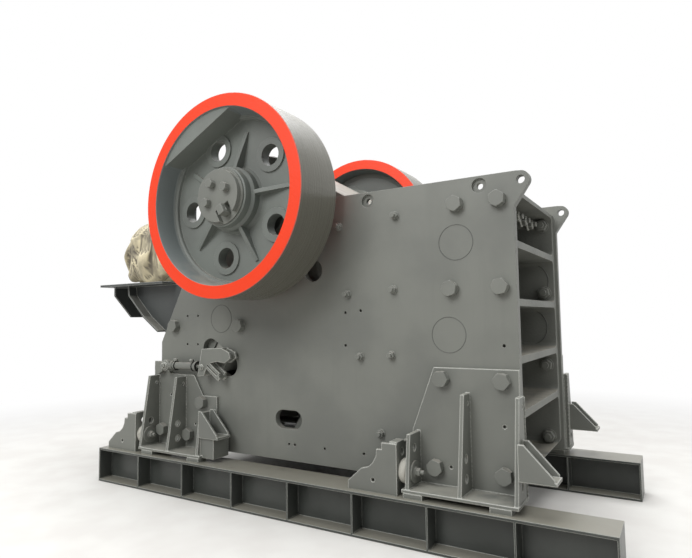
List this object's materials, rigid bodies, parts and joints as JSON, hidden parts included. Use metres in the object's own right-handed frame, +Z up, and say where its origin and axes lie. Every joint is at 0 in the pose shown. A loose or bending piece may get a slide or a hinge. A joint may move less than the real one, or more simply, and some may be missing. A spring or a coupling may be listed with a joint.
{
  "type": "jaw crusher",
  "caption": "Single-toggle jaw crusher of bolted plate and castings on two skids, with spoked flywheels, jaw dies and a cloth-wrapped motor.",
  "frame": {"origin": "on the floor, under the middle of the whole machine", "axes": "+X runs along the skids to the fixed-jaw end, +Y across to the left side, +Z up"},
  "size_m": [4.65, 2.648, 3.1759],
  "materials": {
    "grey_paint": "semi-matt grey machine enamel on cast and welded steel",
    "skid_paint": "semi-matt dark grey enamel on rolled beams",
    "bare_steel": "machined steel, lightly oiled",
    "manganese_steel": "as-cast manganese steel wear parts",
    "buffer_rubber": "pale grey rubber",
    "tan_cloth": "coarse woven tan wrapping cloth"
  },
  "bodies": {
    "frame": {"skid_beam_right": "skid_paint", "skid_beam_left": "skid_paint", "side_plate_right": "grey_paint", "side_plate_left": "grey_paint", "front_frame": "grey_paint", "rear_frame": "grey_paint", "frame_pins": "grey_paint", "frame_bolts_right": "grey_paint", "frame_bolts_left": "grey_paint", "pocket_nuts": "grey_paint", "front_foot_right": "grey_paint", "front_foot_left": "grey_paint", "rear_foot_right": "grey_paint", "rear_foot_left": "grey_paint", "foot_pads": "grey_paint", "end_stops": "grey_paint", "rubber_buffers": "buffer_rubber", "buffer_bolts": "grey_paint", "bearing_housing_right": "grey_paint", "bearing_housing_left": "grey_paint", "fixed_jaw_die": "manganese_steel", "cheek_plates": "manganese_steel", "cheek_bolts": "grey_paint", "toggle_plate": "grey_paint", "toggle_beam": "grey_paint", "wedge_block": "bare_steel", "sliding_wedges": "bare_steel", "tension_rods": "bare_steel", "rod_springs": "grey_paint", "adjuster_right": "grey_paint", "adjuster_left": "grey_paint", "adjusting_cylinders": "grey_paint", "motor_bracket": "grey_paint", "motor_cover": "tan_cloth"},
    "rotor": {"eccentric_shaft": "bare_steel", "flywheel_right": "grey_paint", "flywheel_left": "grey_paint", "shaft_caps": "grey_paint", "cap_bolts": "grey_paint"},
    "pitman": {"pitman": "grey_paint", "pitman_guard": "grey_paint", "movable_jaw_die": "manganese_steel"}
  },
  "joints": [
    {"name": "shaft_turn", "type": "hinge", "parent": "frame", "child": "rotor", "pos_m": [-0.272, 0, 2.4], "axis": [0, 1, 0], "continuous": true},
    {"name": "pitman_swing", "type": "hinge", "parent": "rotor", "child": "pitman", "pos_m": [-0.26474, 0, 2.38574], "axis": [0, 1, 0], "continuous": true}
  ],
  "couplings": [
    {"joint": "pitman_swing", "follows": "shaft_turn", "ratio": -1}
  ]
}
